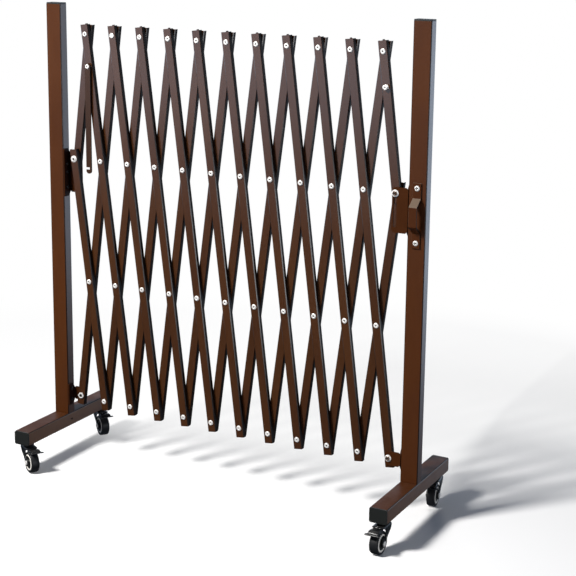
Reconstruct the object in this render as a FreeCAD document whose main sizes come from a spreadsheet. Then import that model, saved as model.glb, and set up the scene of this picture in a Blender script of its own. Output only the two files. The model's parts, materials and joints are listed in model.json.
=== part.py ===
import FreeCAD, Part
import math
import os
import Sketcher

# Expandable barricade: two wheeled end frames joined by a scissor lattice of riveted channel slats.
#
# Millimetres, +Z up, origin on the floor under the middle of the barricade, front towards -Y.
# The lattice has two layers. Front slats lean one way, back slats the other, and every crossing is a
# rivet. The lowest end pivots are fixed to the posts; the upper end pivots ride in slotted brackets,
# because the rows move closer together as the lattice opens.

SIZES = {
    # End frames
    "post_width": 40,
    "post_depth": 25,
    "post_length": 982,
    "tube_wall": 1.5,
    "tube_corner": 2.5,
    "cap_plate": 3,
    "cap_plug": 12,
    "cap_fit": 0.2,
    "foot_width": 40,
    "foot_height": 32,
    "foot_tube_length": 334,
    "vent_bore": 5,
    # Scissor lattice
    "pivot_spacing": 292,
    "cell_pitch": 74,
    "closed_pitch": 23.5,
    "open_pitch": 283,
    "slat_width": 20.5,
    "slat_depth": 10,
    "slat_wall": 1.2,
    "slat_bend": 1.6,
    "slat_tail": 22,
    "layer_gap": 1,
    "rivet_diameter": 9,
    "rivet_proud": 2.5,
    "running_fit": 0.05,
    "post_gap": 29,
    "lower_pivot_height": 48,
    # Brackets and their pivot bolts
    "bracket_plate": 2.5,
    "bracket_clearance": 0.5,
    "bracket_corner": 5,
    "slot_play": 0.5,
    "slot_plate_reach": 7,
    "slot_plate_above": 5,
    "slot_plate_below": 11.5,
    "slot_base_extra": 8,
    "pivot_plate_half": 16,
    "pivot_base_half": 26,
    "bolt_diameter": 6,
    "bolt_play": 0.3,
    "bolt_head_diameter": 18,
    "bolt_head_height": 3,
    "bolt_nut_height": 5,
    # Hook strap and the stud that it drops over
    "latch_offset": 73,
    "strap_width": 14.5,
    "strap_thickness": 2.5,
    "strap_stand_off": 3.5,
    "strap_end": 12,
    "strap_corner": 7,
    "strap_play": 0.2,
    "strap_head_height": 2,
    "strap_rivet_diameter": 6,
    "strap_head_diameter": 11,
    "notch_height": 5.6,
    "notch_depth": 9.5,
    "stud_diameter": 5,
    # Pull handle
    "handle_height": 684.5,
    "handle_width": 18,
    "handle_strip": 3,
    "handle_stand_off": 24,
    "handle_half_length": 68.5,
    "handle_leg_start": 36,
    "handle_grip_half": 21,
    "handle_bend": 2.5,
    # Casters
    "caster_height": 68,
    "caster_inset": 25,
    "caster_trail": 20,
    "wheel_diameter": 50,
    "wheel_width": 20,
    "wheel_side_clearance": 1.5,
    "axle_diameter": 7,
    "axle_head_diameter": 11,
    "axle_head_height": 2.5,
    "fork_plate": 2.5,
    "fork_top": 60,
    "fork_nose": 16,
    "fork_nose_height": 10,
    "fork_heel": 27,
    "fork_waist": 45,
    "fork_boss_radius": 9,
    "fork_end_cut": 5.3,
    "fork_shoulder": 3,
    "swivel_diameter": 10,
    "swivel_collar_diameter": 26,
    "swivel_gap": 0.4,
    "swivel_head_diameter": 16,
    "swivel_head_height": 3.5,
    "pedal_pin_height": 53.5,
    "pedal_pin_forward": 21,
    "pedal_boss_radius": 3,
    "pedal_boss_round": 2.9,
    "pedal_side_clearance": 0.5,
    "pedal_root": 31,
    "pedal_plate": 4,
    "pedal_shoulder": 43,
    "pedal_width": 25,
    "pedal_reach": 47,
    "pedal_tip_height": 53,
    "pedal_tip_depth": 3,
    "lip_reach": 53,
    "lip_width": 34,
    "lip_plate": 2.2,
}
COLUMNS = 11                        # cells between the two end frames
RIVET_SIDES = 12                    # what repeats is many-sided, which keeps the whole lattice light
HOLE_SIDES = 8
COLLAR_SIDES = 16
PEDAL_LIFT = 8                      # degrees that a released brake pedal stands up
CASTER_YAWS = {                     # where each caster points, degrees from +X
    "left_front": -31,
    "left_rear": -36,
    "right_front": -91,
    "right_rear": -82,
}

doc = FreeCAD.newDocument("expandable_barricade")
sheet = doc.addObject("Spreadsheet::Sheet", "dims")
for row, (alias, length) in enumerate(SIZES.items(), start=1):
    sheet.set("A%d" % row, alias)
    sheet.set("B%d" % row, str(length))
    sheet.setAlias("B%d" % row, alias)
doc.recompute()

Vector = FreeCAD.Vector
parts = []


def size(alias):
    """A driving dimension, read back from the sheet."""
    return float(getattr(sheet, alias))


def rise(pitch):
    """Height between two pivot rows when neighbouring pivots are this far apart."""
    return math.sqrt(size("pivot_spacing") ** 2 - (size(pitch) / 2) ** 2)


def rise_expression(pitch):
    return "sqrt(dims.pivot_spacing ^ 2 - (dims.%s / 2) ^ 2)" % pitch


def number(quantity):
    return float(getattr(quantity, "Value", quantity))


# Shared helpers: bodies, sketches with every vertex bound to the sheet, features

def new_body(label):
    body = doc.addObject("PartDesign::Body", label)
    body.Label = label
    return body


def sketch_on(body, role, name, offset=None):
    plane = [item for item in body.Origin.OriginFeatures if item.Role == role][0]
    sketch = body.newObject("Sketcher::SketchObject", name)
    sketch.AttachmentSupport = [(plane, "")]
    sketch.MapMode = "FlatFace"
    if offset:
        sketch.setExpression("AttachmentOffset.Base.z", offset)
    return sketch


def bind_point(sketch, geometry, point, x, y):
    """Hold one point of the sketch at two sheet expressions."""
    for kind, expression in (("DistanceX", x), ("DistanceY", y)):
        value = number(sketch.evalExpression(expression))
        index = sketch.addConstraint(Sketcher.Constraint(kind, -1, 1, geometry, point, value))
        sketch.setExpression("Constraints[%d]" % index, expression)


def polygon(sketch, points):
    """Closed outline through points given as pairs of sheet expressions."""
    corners = [Vector(number(sketch.evalExpression(x)), number(sketch.evalExpression(y)), 0) for x, y in points]
    count = len(corners)
    lines = []
    for index in range(count):
        line = Part.LineSegment(corners[index], corners[(index + 1) % count])
        lines.append(sketch.addGeometry(line, False))
    for index in range(count):
        following = lines[(index + 1) % count]
        sketch.addConstraint(Sketcher.Constraint("Coincident", lines[index], 2, following, 1))
    for index in range(count):
        bind_point(sketch, lines[index], 1, *points[index])


def rectangle(sketch, left, bottom, right, top):
    polygon(sketch, [(left, bottom), (right, bottom), (right, top), (left, top)])


def centred_rectangle(sketch, width, height):
    rectangle(sketch, "-(%s) / 2" % width, "-(%s) / 2" % height, "(%s) / 2" % width, "(%s) / 2" % height)


def circle(sketch, x, y, diameter):
    centre = Vector(number(sketch.evalExpression(x)), number(sketch.evalExpression(y)), 0)
    radius = number(sketch.evalExpression(diameter)) / 2
    ring = sketch.addGeometry(Part.Circle(centre, Vector(0, 0, 1), radius), False)
    bind_point(sketch, ring, 3, x, y)
    index = sketch.addConstraint(Sketcher.Constraint("Diameter", ring, 2 * radius))
    sketch.setExpression("Constraints[%d]" % index, diameter)


def many_sided_hole(sketch, x, y, diameter):
    """Regular polygon whose flats lie on a circle, so a round or many-sided pin of that size turns in it."""
    half_turn = 180 / HOLE_SIDES
    corner = "(%s) / 2 / cos(%g deg)" % (diameter, half_turn)
    angles = [half_turn * (2 * index + 1) for index in range(HOLE_SIDES)]
    polygon(sketch, [("%s + %s * cos(%g deg)" % (x, corner, a), "%s + %s * sin(%g deg)" % (y, corner, a))
                     for a in angles])


def pad(body, sketch, length, back=None, symmetric=False, reverse=False):
    feature = body.newObject("PartDesign::Pad", sketch.Name + "_pad")
    feature.Profile = sketch
    feature.setExpression("Length", length)
    if back:
        feature.SideType = "Two sides"
        feature.setExpression("Length2", back)
    elif symmetric:
        feature.SideType = "Symmetric"
    feature.Reversed = reverse
    doc.recompute()
    return feature


def pocket(body, sketch, length=None, reverse=False):
    """Cut through everything both ways, or to one side by a length, and prove that it cut."""
    before = body.Shape.Volume
    feature = body.newObject("PartDesign::Pocket", sketch.Name + "_pocket")
    feature.Profile = sketch
    if length:
        feature.setExpression("Length", length)
        feature.Reversed = reverse
    else:
        feature.Type = "ThroughAll"
        feature.SideType = "Symmetric"
    doc.recompute()
    if body.Shape.Volume >= before:
        raise RuntimeError(sketch.Name + " cut nothing")
    return feature


def fillet(body, radius, chosen):
    """Round the edges of the body's last feature that the test chooses."""
    base = body.Tip
    names = ["Edge%d" % (n + 1) for n, edge in enumerate(base.Shape.Edges) if chosen(edge)]
    feature = body.newObject("PartDesign::Fillet", body.Name + "_fillet")
    feature.Base = (base, names)
    feature.setExpression("Radius", radius)
    doc.recompute()
    return feature


def chamfer(body, size_expression, chosen):
    base = body.Tip
    names = ["Edge%d" % (n + 1) for n, edge in enumerate(base.Shape.Edges) if chosen(edge)]
    feature = body.newObject("PartDesign::Chamfer", body.Name + "_chamfer")
    feature.Base = (base, names)
    feature.setExpression("Size", size_expression)
    doc.recompute()
    return feature


def runs_along(edge, axis):
    """True for a straight edge parallel to the axis."""
    if not isinstance(edge.Curve, Part.Line):
        return False
    return abs(edge.tangentAt(edge.FirstParameter).dot(axis)) > 0.999


def at(edge, axis, value):
    """True if the middle of the edge lies at this coordinate along the axis."""
    return abs(edge.CenterOfMass.dot(axis) - value) < 0.01


def cylinder(name, diameter, height, axis, base):
    """Round bar along an axis, from its bound base point."""
    bar = doc.addObject("Part::Cylinder", name)
    bar.setExpression("Radius", "(%s) / 2" % diameter)
    bar.setExpression("Height", height)
    bar.Placement = FreeCAD.Placement(Vector(), FreeCAD.Rotation(Vector(0, 0, 1), axis))
    for letter, expression in zip("xyz", base):
        bar.setExpression("Placement.Base." + letter, expression)
    return bar


def prism(name, sides, diameter, height, axis, base):
    """Regular bar along an axis, its corners on the diameter: a nut, a bolt head or a many-sided rivet."""
    bar = doc.addObject("Part::Prism", name)
    bar.Polygon = sides
    bar.setExpression("Circumradius", "(%s) / 2" % diameter)
    bar.setExpression("Height", height)
    bar.Placement = FreeCAD.Placement(Vector(), FreeCAD.Rotation(Vector(0, 0, 1), axis))
    for letter, expression in zip("xyz", base):
        bar.setExpression("Placement.Base." + letter, expression)
    return bar


def hexagon(name, diameter, height, axis, base):
    return prism(name, 6, diameter, height, axis, base)


def fuse(name, shapes):
    joined = doc.addObject("Part::MultiFuse", name)
    joined.Shapes = shapes
    doc.recompute()
    return joined


def group(label, members):
    """Separate solids that share one node."""
    bundle = doc.addObject("Part::Compound", label)
    bundle.Label = label
    bundle.Links = members
    doc.recompute()
    return bundle


def finish(part, placement):
    part.Placement = placement
    parts.append(part)


X, Y, Z = Vector(1, 0, 0), Vector(0, 1, 0), Vector(0, 0, 1)


def turn(axis, degrees):
    return FreeCAD.Rotation(axis, degrees)


def move(x=0, y=0, z=0):
    return FreeCAD.Placement(Vector(x, y, z), FreeCAD.Rotation())


# Where things stand: the two end frames and the pivots of the lattice at rest

FOOT_TOP = size("caster_height") + size("foot_height")
LOWER_ROW = FOOT_TOP + size("lower_pivot_height")
PIVOT_REACH = size("post_width") / 2 + size("post_gap")
HALF_SPAN = COLUMNS * size("cell_pitch") / 2 + PIVOT_REACH
LEAN = math.degrees(math.asin(size("cell_pitch") / 2 / size("pivot_spacing")))
frame_places = {
    "left": move(x=-HALF_SPAN),
    "right": FreeCAD.Placement(Vector(HALF_SPAN, 0, 0), turn(Z, 180)),
}


def pivot(row, column):
    """Rest position of the pivot in a row (1 is the top) at a column, counted from the top row's first."""
    x = (column - (COLUMNS - 1) / 2) * size("cell_pitch")
    return Vector(x, 0, LOWER_ROW + (4 - row) * rise("cell_pitch"))


# Layers across the depth of the barricade, as sheet expressions
INNER_FACE = "dims.layer_gap / 2"
WEB_FACE = "(dims.layer_gap / 2 + dims.slat_depth)"
PLATE_FAR = "(dims.layer_gap / 2 + dims.slat_depth + dims.bracket_clearance + dims.bracket_plate)"
STRAP_BACK = "(dims.layer_gap / 2 + dims.slat_depth + dims.strap_stand_off)"
STRAP_FRONT = "(dims.layer_gap / 2 + dims.slat_depth + dims.strap_stand_off + dims.strap_thickness)"


# Slats: bent channel, open towards the back in both layers, with a hole at every pivot

def slat(label, pivots):
    """Channel slat with its top pivot at the origin and its length down local -Z."""
    body = new_body(label)
    section = sketch_on(body, "XY_Plane", label + "_section")
    half, inner = "dims.slat_width / 2", "(dims.slat_width / 2 - dims.slat_wall)"
    web_inside = "-(%s - dims.slat_wall)" % WEB_FACE
    flat, bend = "(dims.slat_width / 2 - dims.slat_bend)", "-(%s - dims.slat_bend)" % WEB_FACE
    polygon(section, [
        ("-" + half, bend), ("-" + flat, "-" + WEB_FACE), (flat, "-" + WEB_FACE), (half, bend),
        (half, "-" + INNER_FACE), (inner, "-" + INNER_FACE),
        (inner, web_inside), ("-" + inner, web_inside),
        ("-" + inner, "-" + INNER_FACE), ("-" + half, "-" + INNER_FACE),
    ])
    pad(body, section, "dims.slat_tail", back="%d * dims.pivot_spacing + dims.slat_tail" % (pivots - 1))
    hole = sketch_on(body, "XZ_Plane", label + "_hole")
    many_sided_hole(hole, "0", "0", "dims.rivet_diameter + 2 * dims.running_fit")
    first = pocket(body, hole)
    row = body.newObject("PartDesign::LinearPattern", label + "_row")
    row.Originals = [first]
    row.Direction = (hole, ["V_Axis"])
    row.Reversed = True
    row.Occurrences = pivots
    row.setExpression("Length", "%d * dims.pivot_spacing" % (pivots - 1))
    body.Tip = row
    doc.recompute()
    return body


def rivet(name, step):
    """Pivot rivet through both webs, at a number of pivot spacings below the slat's top pivot."""
    length = "%s + %s + dims.slat_wall + 2 * dims.rivet_proud" % (WEB_FACE, INNER_FACE)
    base = ("0", "-(%s + dims.rivet_proud)" % WEB_FACE, "-%d * dims.pivot_spacing" % step)
    return prism(name, RIVET_SIDES, "dims.rivet_diameter", length, Y, base)


def bolt(name, front, back, shoulder=None, x="0", z="0"):
    """Low-headed bolt and nut between two faces. A shoulder fits the slats' holes where the rest is thinner."""
    head, nut, wide = "dims.bolt_head_height", "dims.bolt_nut_height", "dims.bolt_head_diameter"
    shank = "dims.bolt_diameter" if shoulder else "dims.rivet_diameter"
    pieces = [
        cylinder(name + "_shank", shank, "%s - %s" % (back, front), Y, (x, front, z)),
        hexagon(name + "_head", wide, head, Y, (x, "%s - %s" % (front, head), z)),
        hexagon(name + "_nut", wide, nut, Y, (x, back, z)),
    ]
    if shoulder:
        near, far = shoulder
        length = "%s - %s" % (far, near)
        pieces.append(cylinder(name + "_shoulder", "dims.rivet_diameter", length, Y, (x, near, z)))
    return fuse(name, pieces)


STRAP_SEAT = "(%s - dims.strap_play)" % STRAP_BACK
STRAP_KEEPER = "(%s + dims.strap_play)" % STRAP_FRONT
STRAP_HEIGHT = "-dims.latch_offset"


def keeper_head(name):
    """Head beyond the hook strap's front face."""
    tall = "dims.strap_head_height"
    base = ("0", "-(%s + %s)" % (STRAP_KEEPER, tall), STRAP_HEIGHT)
    return prism(name, RIVET_SIDES, "dims.strap_head_diameter", tall, Y, base)


def strap_rivet(name):
    """Rivet that carries the hook strap on a spacer collar, clear of the heads of the pivot rivets."""
    pin_base = ("0", "-" + STRAP_KEEPER, STRAP_HEIGHT)
    collar_base = ("0", "-" + STRAP_SEAT, STRAP_HEIGHT)
    collar_length = "%s - %s" % (STRAP_SEAT, WEB_FACE)
    return fuse(name, [
        cylinder(name + "_pin", "dims.strap_rivet_diameter", "%s - %s" % (STRAP_KEEPER, WEB_FACE), Y, pin_base),
        prism(name + "_collar", RIVET_SIDES, "dims.strap_head_diameter", collar_length, Y, collar_base),
        keeper_head(name + "_head"),
    ])


def catch_stud(name):
    """Headed stud that the notch of the hook strap drops over."""
    pin_base = ("0", "-" + STRAP_KEEPER, STRAP_HEIGHT)
    length = "%s - %s" % (STRAP_KEEPER, WEB_FACE)
    return fuse(name, [
        prism(name + "_neck", RIVET_SIDES, "dims.stud_diameter", length, Y, pin_base),
        keeper_head(name + "_head"),
    ])


# The lattice at rest. Short slats close the ends of the lattice between the rows that they reach.

front_slats = [(-1, 2, 4)] + [(i, 1, 4) for i in range(COLUMNS - 1)] + [(COLUMNS - 1, 1, 2)]
back_slats = [(0, 1, 2)] + [(i, 1, 4) for i in range(1, COLUMNS)] + [(COLUMNS, 2, 4)]
first_front, last_front = front_slats[0][0], front_slats[-1][0]
strap_slat = front_slats[1][0]
through_slats = ("-" + WEB_FACE, WEB_FACE)
outside_plate = "(%s + dims.bolt_play)" % PLATE_FAR

for count, (i, top, bottom) in enumerate(front_slats, start=1):
    corner = pivot(top, i + (top - 1) / 2)
    place = FreeCAD.Placement(corner, turn(Y, -LEAN))
    finish(slat("front_slat_%02d" % count, bottom - top + 1), place)
    name = "rivets_%02d" % count
    members = []
    for row in range(top, bottom + 1):
        sliding = (i, row) in ((first_front, 2), (last_front, 2))
        on_frame = (i, row) == (last_front - 1, 4)
        if not sliding and not on_frame:
            members.append(rivet("%s_row_%d" % (name, row), row - top))
    if i == first_front:
        members.append(bolt("left_sliding_bolt", "-" + WEB_FACE, outside_plate, through_slats))
    if i == last_front:
        nut_face = "(%s + dims.bolt_play)" % WEB_FACE
        members.append(bolt("right_sliding_bolt", "-" + outside_plate, nut_face, through_slats,
                            z="-dims.pivot_spacing"))
        members.append(catch_stud("catch_stud"))
    if i == strap_slat:
        members.append(strap_rivet("strap_rivet"))
        strap_place = place.multiply(move(z=-size("latch_offset"))).Base
    finish(group(name, members), place)

for count, (j, top, bottom) in enumerate(back_slats, start=1):
    corner = pivot(top, j - (top - 1) / 2)
    behind = Vector(0, size("slat_depth") + size("layer_gap"), 0)
    place = FreeCAD.Placement(corner + behind, turn(Y, LEAN))
    finish(slat("back_slat_%02d" % count, bottom - top + 1), place)


# End frames, built with the post's axis at the origin, the floor at zero and the lattice towards +X

def hollow_section(sketch, width, height, centre="0"):
    for wall in ("0", "dims.tube_wall"):
        half_x = "(%s / 2 - %s)" % (width, wall)
        half_y = "(%s / 2 - %s)" % (height, wall)
        rectangle(sketch, "-" + half_x, "%s - %s" % (centre, half_y), half_x, "%s + %s" % (centre, half_y))


FOOT_TOP_EXPRESSION = "(dims.caster_height + dims.foot_height)"
FOOT_MIDDLE = "(dims.caster_height + dims.foot_height / 2)"
CASTER_REACH = "(dims.foot_tube_length / 2 + dims.cap_plate - dims.caster_inset)"
LOWER_ROW_EXPRESSION = "(%s + dims.lower_pivot_height)" % FOOT_TOP_EXPRESSION
POST_FACE = "(dims.post_width / 2)"
PIVOT_LINE = "(dims.post_width / 2 + dims.post_gap)"
PLATE_EDGE = "(dims.post_width / 2 + dims.post_gap + dims.slot_plate_reach)"


def post(label):
    body = new_body(label)
    section = sketch_on(body, "XY_Plane", label + "_section", FOOT_TOP_EXPRESSION)
    hollow_section(section, "dims.post_width", "dims.post_depth")
    pad(body, section, "dims.post_length")
    half = size("post_width") / 2
    fillet(body, "dims.tube_corner", lambda e: runs_along(e, Z) and abs(abs(e.CenterOfMass.x) - half) < 0.01)
    return body


def foot(label):
    """Cross tube with a vent hole on its inner side."""
    body = new_body(label)
    section = sketch_on(body, "XZ_Plane", label + "_section")
    hollow_section(section, "dims.foot_width", "dims.foot_height", FOOT_MIDDLE)
    pad(body, section, "dims.foot_tube_length", symmetric=True)
    half = size("foot_width") / 2
    fillet(body, "dims.tube_corner", lambda e: runs_along(e, Y) and abs(abs(e.CenterOfMass.x) - half) < 0.01)
    vent = sketch_on(body, "YZ_Plane", label + "_vent")
    many_sided_hole(vent, "0", FOOT_MIDDLE, "dims.vent_bore")
    pocket(body, vent, "dims.foot_width", reverse=True)
    return body


def end_cap(label, width, height):
    """Plate over the end of a tube, outwards along +Z, with a plug that reaches into the tube."""
    body = new_body(label)
    plate = sketch_on(body, "XY_Plane", label + "_plate")
    centred_rectangle(plate, width, height)
    pad(body, plate, "dims.cap_plate")
    chamfer(body, "dims.tube_corner", lambda e: runs_along(e, Z))
    plug = sketch_on(body, "XY_Plane", label + "_plug")
    inset = "2 * (dims.tube_wall + dims.cap_fit)"
    centred_rectangle(plug, "%s - %s" % (width, inset), "%s - %s" % (height, inset))
    pad(body, plug, "dims.cap_plug", reverse=True)
    return body


def end_caps(side):
    top = end_cap(side + "_post_cap", "dims.post_width", "dims.post_depth")
    top.Placement = move(z=FOOT_TOP + size("post_length"))
    caps = [top]
    middle = FOOT_TOP - size("foot_height") / 2
    for end, tilt, sign in (("near", 90, -1), ("far", -90, 1)):
        cap = end_cap("%s_%s_foot_cap" % (side, end), "dims.foot_width", "dims.foot_height")
        tube_end = Vector(0, sign * size("foot_tube_length") / 2, middle)
        cap.Placement = FreeCAD.Placement(tube_end, turn(X, tilt))
        caps.append(cap)
    return group(side + "_end_caps", caps)


def bracket(label, base, plate):
    """Angle plate with its corners cut: a base on the post's inner face, a flange past the outer slat's web."""
    body = new_body(label)
    seat = sketch_on(body, "YZ_Plane", label + "_base", POST_FACE)
    cut = "dims.bracket_corner"
    low, high = "%s + %s" % (plate[0], cut), "%s - %s" % (plate[1], cut)
    near, far = "-dims.post_depth / 2", "%s - 2 * %s" % (PLATE_FAR, cut)
    polygon(seat, [(near, base[0]), (far, base[0]), (PLATE_FAR, low), (PLATE_FAR, high), (far, base[1]),
                   (near, base[1])])
    pad(body, seat, "dims.bracket_plate")
    flange = sketch_on(body, "XZ_Plane", label + "_flange", "-" + PLATE_FAR)
    left, right = "%s + %s" % (POST_FACE, cut), "%s - %s" % (PLATE_EDGE, cut)
    polygon(flange, [(POST_FACE, low), (left, plate[0]), (right, plate[0]), (PLATE_EDGE, low),
                     (PLATE_EDGE, high), (right, plate[1]), (left, plate[1]), (POST_FACE, high)])
    pad(body, flange, "dims.bracket_plate")
    return body


def slotted_bracket(label):
    """The slot reaches from the bolt's height with the lattice shut to its height with the lattice open."""
    shut = "(%s + 2 * %s)" % (LOWER_ROW_EXPRESSION, rise_expression("closed_pitch"))
    spread = "(%s + 2 * %s)" % (LOWER_ROW_EXPRESSION, rise_expression("open_pitch"))
    width = "(dims.bolt_diameter + 2 * dims.slot_play)"
    low = "(%s - %s / 2 - dims.slot_plate_below)" % (spread, width)
    high = "(%s + %s / 2 + dims.slot_plate_above)" % (shut, width)
    extra = "dims.slot_base_extra"
    body = bracket(label, ("%s - %s" % (low, extra), "%s + %s" % (high, extra)), (low, high))
    slot = sketch_on(body, "XZ_Plane", label + "_slot")
    rectangle(slot, "%s - %s / 2" % (PIVOT_LINE, width), spread, "%s + %s / 2" % (PIVOT_LINE, width), shut)
    pocket(body, slot)
    for end, height in (("shut", shut), ("spread", spread)):
        bend = sketch_on(body, "XZ_Plane", "%s_slot_%s" % (label, end))
        circle(bend, PIVOT_LINE, height, width)
        pocket(body, bend)
    return body


def pivot_bracket(label):
    base = ["%s %s dims.pivot_base_half" % (LOWER_ROW_EXPRESSION, sign) for sign in "-+"]
    plate = ["%s %s dims.pivot_plate_half" % (LOWER_ROW_EXPRESSION, sign) for sign in "-+"]
    body = bracket(label, base, plate)
    hole = sketch_on(body, "XZ_Plane", label + "_hole")
    many_sided_hole(hole, PIVOT_LINE, LOWER_ROW_EXPRESSION, "dims.rivet_diameter + 2 * dims.bolt_play")
    pocket(body, hole)
    return body


def caster_stem(name, y):
    """Collar under the foot, the pivot that the fork's crown turns on, and a rivet head under the crown."""
    head_base = "(dims.fork_top - dims.fork_plate - dims.swivel_gap - dims.swivel_head_height)"
    collar, collar_base = "dims.swivel_collar_diameter", "(dims.fork_top + dims.swivel_gap)"
    collar_height = "dims.caster_height - %s" % collar_base
    pivot_height = "dims.caster_height - %s" % head_base
    return fuse(name, [
        prism(name + "_collar", COLLAR_SIDES, collar, collar_height, Z, ("0", y, collar_base)),
        cylinder(name + "_pivot", "dims.swivel_diameter", pivot_height, Z, ("0", y, head_base)),
        hexagon(name + "_head", "dims.swivel_head_diameter", "dims.swivel_head_height", Z, ("0", y, head_base)),
    ])


def hardware(side):
    """Caster stems, and the bolt on which the outermost slat turns in the lower bracket."""
    tips = "(%s - dims.bolt_play)" % INNER_FACE
    return group(side + "_hardware", [
        caster_stem(side + "_near_stem", "-" + CASTER_REACH),
        caster_stem(side + "_far_stem", CASTER_REACH),
        bolt(side + "_lower_bolt", tips, PLATE_FAR, x=PIVOT_LINE, z=LOWER_ROW_EXPRESSION),
    ])


for side, place in frame_places.items():
    finish(post(side + "_post"), place)
    finish(foot(side + "_foot"), place)
    finish(end_caps(side), place)
    plates = [slotted_bracket(side + "_slotted_bracket"), pivot_bracket(side + "_pivot_bracket")]
    finish(group(side + "_brackets", plates), place)
    finish(hardware(side), place)


# Pull handle: bent strip on the front of the right post, the post's face at local y = 0

def pull_handle(label):
    body = new_body(label)
    outline = sketch_on(body, "YZ_Plane", label + "_outline")
    end, foot_z, grip_z = "dims.handle_half_length", "dims.handle_leg_start", "dims.handle_grip_half"
    strip, reach = "dims.handle_strip", "dims.handle_stand_off"
    run = "(%s - %s)" % (reach, strip)
    drop = "(%s - %s)" % (foot_z, grip_z)
    inset = "%s * (sqrt(%s ^ 2 + %s ^ 2) - %s) / %s" % (strip, run, drop, drop, run)
    upper_outer = [("0", end), ("-" + strip, end), ("-" + strip, foot_z), ("-" + reach, grip_z)]
    upper_inner = [("0", "%s - %s" % (foot_z, inset)), ("-" + run, "%s - %s" % (grip_z, inset))]
    lower_outer = [(y, "-(%s)" % z) for y, z in reversed(upper_outer)]
    lower_inner = [(y, "-(%s)" % z) for y, z in upper_inner]
    polygon(outline, upper_outer + lower_outer + lower_inner + list(reversed(upper_inner)))
    pad(body, outline, "dims.handle_width", symmetric=True)
    tip = size("handle_half_length")
    fillet(body, "dims.handle_bend", lambda e: runs_along(e, X) and abs(abs(e.CenterOfMass.z) - tip) > 0.01)
    return body


finish(pull_handle("pull_handle"), move(HALF_SPAN, -size("post_depth") / 2, size("handle_height")))


# Hook strap: hangs from its rivet, as long as the shut lattice so that its notch finds the stud

def hook_strap(label):
    body = new_body(label)
    outline = sketch_on(body, "XZ_Plane", label + "_outline", STRAP_BACK)
    reach = "(%d * dims.closed_pitch)" % (COLUMNS - 1)
    half = "dims.strap_width / 2"
    rectangle(outline, "-" + half, "-(%s + dims.strap_end)" % reach, half, half)
    pad(body, outline, "dims.strap_thickness")
    fillet(body, "dims.strap_corner", lambda e: runs_along(e, Y))
    hole = sketch_on(body, "XZ_Plane", label + "_hole")
    many_sided_hole(hole, "0", "0", "dims.strap_rivet_diameter + 2 * dims.running_fit")
    pocket(body, hole)
    notch = sketch_on(body, "XZ_Plane", label + "_notch")
    rectangle(notch, "-dims.strap_width", "-%s - dims.notch_height / 2" % reach,
              "dims.notch_depth - %s" % half, "-%s + dims.notch_height / 2" % reach)
    pocket(body, notch)
    return body


finish(hook_strap("hook_strap"), FreeCAD.Placement(strap_place, FreeCAD.Rotation()))


# Casters, built with the swivel axis at the origin, the floor at zero and the wheel trailing along +X

AXLE_HEIGHT = "(dims.wheel_diameter / 2)"
FORK_INSIDE = "(dims.wheel_width + 2 * dims.wheel_side_clearance)"
FORK_OUTSIDE = "(dims.wheel_width + 2 * dims.wheel_side_clearance + 2 * dims.fork_plate)"
PIN_X, PIN_Z = "dims.pedal_pin_forward", "dims.pedal_pin_height"


def fork_stamping(label):
    body = new_body(label)
    outline = sketch_on(body, "XZ_Plane", label + "_outline")
    low = "%s - dims.fork_boss_radius" % AXLE_HEIGHT
    front, rear = "dims.caster_trail - dims.fork_boss_radius", "dims.caster_trail + dims.fork_boss_radius"
    polygon(outline, [
        ("-dims.fork_nose", "dims.fork_top"), ("dims.fork_heel", "dims.fork_top"),
        (rear, "dims.fork_waist"), (rear, low), (front, low), (front, AXLE_HEIGHT),
        ("-dims.fork_nose", "dims.fork_top - dims.fork_nose_height"),
    ])
    pad(body, outline, FORK_OUTSIDE, symmetric=True)
    foot_z = number(outline.evalExpression(low))
    chamfer(body, "dims.fork_end_cut", lambda e: runs_along(e, Y) and at(e, Z, foot_z))
    crown = size("fork_top")
    fillet(body, "dims.fork_shoulder", lambda e: runs_along(e, X) and at(e, Z, crown))
    inside = sketch_on(body, "YZ_Plane", label + "_inside")
    rectangle(inside, "-%s / 2" % FORK_INSIDE, "0", "%s / 2" % FORK_INSIDE, "dims.fork_top - dims.fork_plate")
    pocket(body, inside)
    swivel = sketch_on(body, "XY_Plane", label + "_swivel_hole")
    many_sided_hole(swivel, "0", "0", "dims.swivel_diameter + 2 * dims.running_fit")
    pocket(body, swivel)
    return body


def caster_fork(label):
    """Fork stamping with its axle set fast in the legs."""
    half = "%s / 2" % FORK_OUTSIDE
    trail, head, tall = "dims.caster_trail", "dims.axle_head_diameter", "dims.axle_head_height"
    axle = cylinder(label + "_axle", "dims.axle_diameter", FORK_OUTSIDE, Y, (trail, "-" + half, AXLE_HEIGHT))
    bolt_head = hexagon(label + "_bolt_head", head, tall, Y, (trail, "-%s - %s" % (half, tall), AXLE_HEIGHT))
    nut = hexagon(label + "_nut", head, tall, Y, (trail, half, AXLE_HEIGHT))
    fork = fuse(label, [fork_stamping(label + "_stamping"), axle, bolt_head, nut])
    fork.Label = label
    return fork


def caster_wheel(label):
    """Wheel about local Z, with a running fit on the axle."""
    body = new_body(label)
    half = sketch_on(body, "XZ_Plane", label + "_section")
    bore = "dims.axle_diameter / 2 + dims.running_fit"
    side = "dims.wheel_width / 2"
    rectangle(half, bore, "-" + side, "dims.wheel_diameter / 2", side)
    spin = body.newObject("PartDesign::Revolution", label + "_spin")
    spin.Profile = half
    spin.ReferenceAxis = (half, ["V_Axis"])
    spin.Angle = 360
    doc.recompute()
    return body


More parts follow.
